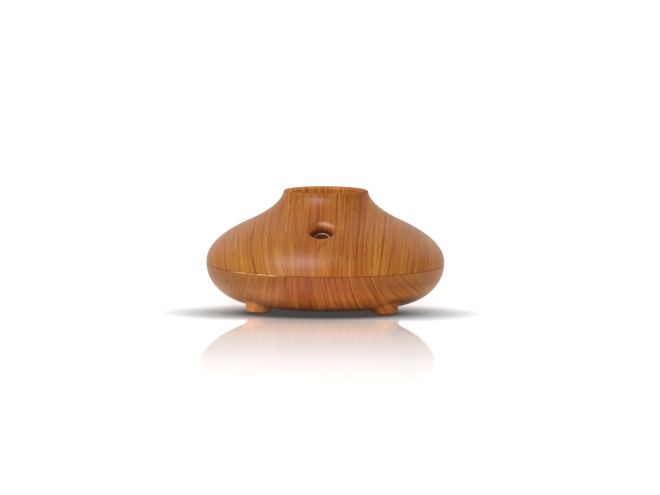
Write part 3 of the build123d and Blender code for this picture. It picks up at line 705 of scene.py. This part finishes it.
def chip(mesh, foot, size, bevel=0.12):
    """A box with bevelled edges, whose underside is centred on foot."""
    made = bmesh.ops.create_cube(mesh, size=1.0)["verts"]
    bmesh.ops.scale(mesh, vec=size, verts=made)
    bmesh.ops.translate(mesh, vec=Vector(foot) + Vector((0, 0, size[2] / 2)), verts=made)
    edges = list({e for v in made for e in v.link_edges})
    bmesh.ops.bevel(mesh, geom=edges, offset=bevel, segments=2, affect="EDGES", profile=0.5)


def solder(mesh, x, y, z, radius, height):
    """A flared solder joint round a lead."""
    profile = [(1.0, 0.0), (0.72, 0.25), (0.5, 0.6), (0.2, 1.0)]     # shares of radius and height
    side, other = Vector((1, 0, 0)), Vector((0, 1, 0))
    skin(mesh, [ring(mesh, Vector((x, y, z + up * height)), out * radius, side, other, sides=14)
                for out, up in profile])


def corners(node):
    """A node's lowest and highest corners."""
    return [Vector(c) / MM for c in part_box(node)]


def adapter_thread(finish):
    """The bottle's thread inside the adapter's cup."""
    top = corners("bottle_adapter")[1].z - THREAD_DROP
    bottom = top - THREAD_PITCH * THREAD_TURNS
    mesh = bmesh.new()
    points = helix((0, 0), THREAD_R, bottom, top, THREAD_TURNS, 64)
    tube(mesh, points, THREAD_RIDGE_R, sides=12, taper=THREAD_RUN_OUT)
    piece("adapter_thread", mesh, finish["adapter_white"], "adapter")


def adapter_grips(finish):
    """Short ribs on the adapter's top, which fingers turn it by."""
    top = corners("bottle_adapter")[1].z
    mesh = bmesh.new()
    for k in range(GRIP_COUNT):
        turn = Matrix.Rotation(2 * math.pi * k / GRIP_COUNT, 4, "Z")
        made = bmesh.ops.create_uvsphere(mesh, u_segments=12, v_segments=8, radius=1.0)["verts"]
        bmesh.ops.scale(mesh, vec=GRIP_HALF_SIZE, verts=made)
        bmesh.ops.translate(mesh, vec=(GRIP_R, 0, top), verts=made)
        bmesh.ops.transform(mesh, matrix=turn, verts=made)
    piece("adapter_grips", mesh, finish["adapter_white"], "adapter")


def spring(finish):
    """The valve spring's coil at rest, in place of the hidden CAD spring; the real one shortens as
    the stem is pushed up.
    """
    low, high = corners("valve_spring")
    radius = (high.x - low.x) / 2 - SPRING_WIRE_R
    z0, z1 = low.z + SPRING_WIRE_R, high.z - SPRING_WIRE_R
    mesh = bmesh.new()
    tube(mesh, helix((0, 0), radius, z0, z1, SPRING_TURNS, 48), SPRING_WIRE_R, sides=12)
    made = piece("valve_spring_coil", mesh, finish["spring_steel"], None)
    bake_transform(made)
    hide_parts("valve_spring")


def winding(finish):
    """Enamelled wire on the inductor, between its flanges."""
    low, high = corners("inductor")
    inset = FLANGE + WINDING_WIRE_R
    mesh = bmesh.new()
    points = helix((low + high) / 2, WINDING_CORE_R + WINDING_WIRE_R, low.z + inset,
                   high.z - inset, WINDING_TURNS, 40)
    tube(mesh, points, WINDING_WIRE_R, sides=8)
    piece("inductor_winding", mesh, finish["stator_core"], "base")


def board_parts(finish):
    """Small parts and solder joints on the two boards."""
    top = corners("driver_board")[1].z
    chips, joints = bmesh.new(), bmesh.new()
    for x, y, along_x in DRIVER_CHIPS:
        plan = (CHIP_LONG, CHIP_SHORT) if along_x else (CHIP_SHORT, CHIP_LONG)
        chip(chips, (x, y, top), (*plan, CHIP_THICK))
        for end in (-CHIP_PAD, CHIP_PAD):
            dx, dy = (end, 0) if along_x else (0, end)
            solder(joints, x + dx, y + dy, top, *CHIP_SOLDER)
    for x, y in JACK_CHIPS:
        chip(chips, (x, y, top), JACK_CHIP_SIZE)
    for x, y in LEAD_ENDS:
        solder(joints, x, y, top, *LEAD_SOLDER)
    piece("board_chips", chips, finish["chip_black"], "base")
    piece("solder_joints", joints, finish["jack_steel"], "base")


def socket_contacts(finish):
    """Five spring contacts on the power socket's tongue."""
    low, high = corners("usb_jack")
    middle = (low.x + high.x) / 2
    mesh = bmesh.new()
    for k in range(-2, 3):
        foot = (middle + CONTACT_PITCH * k, high.y - CONTACT_BACK, low.z + CONTACT_Z)
        chip(mesh, foot, CONTACT_SIZE, bevel=0.04)
    piece("socket_contacts", mesh, finish["bronze"], "base")


camera()
studio()
slots = finishes()
dress(frame["nodes"], frame["record"], slots)
for build in (adapter_thread, adapter_grips, spring, winding, board_parts, socket_contacts):
    build(slots)
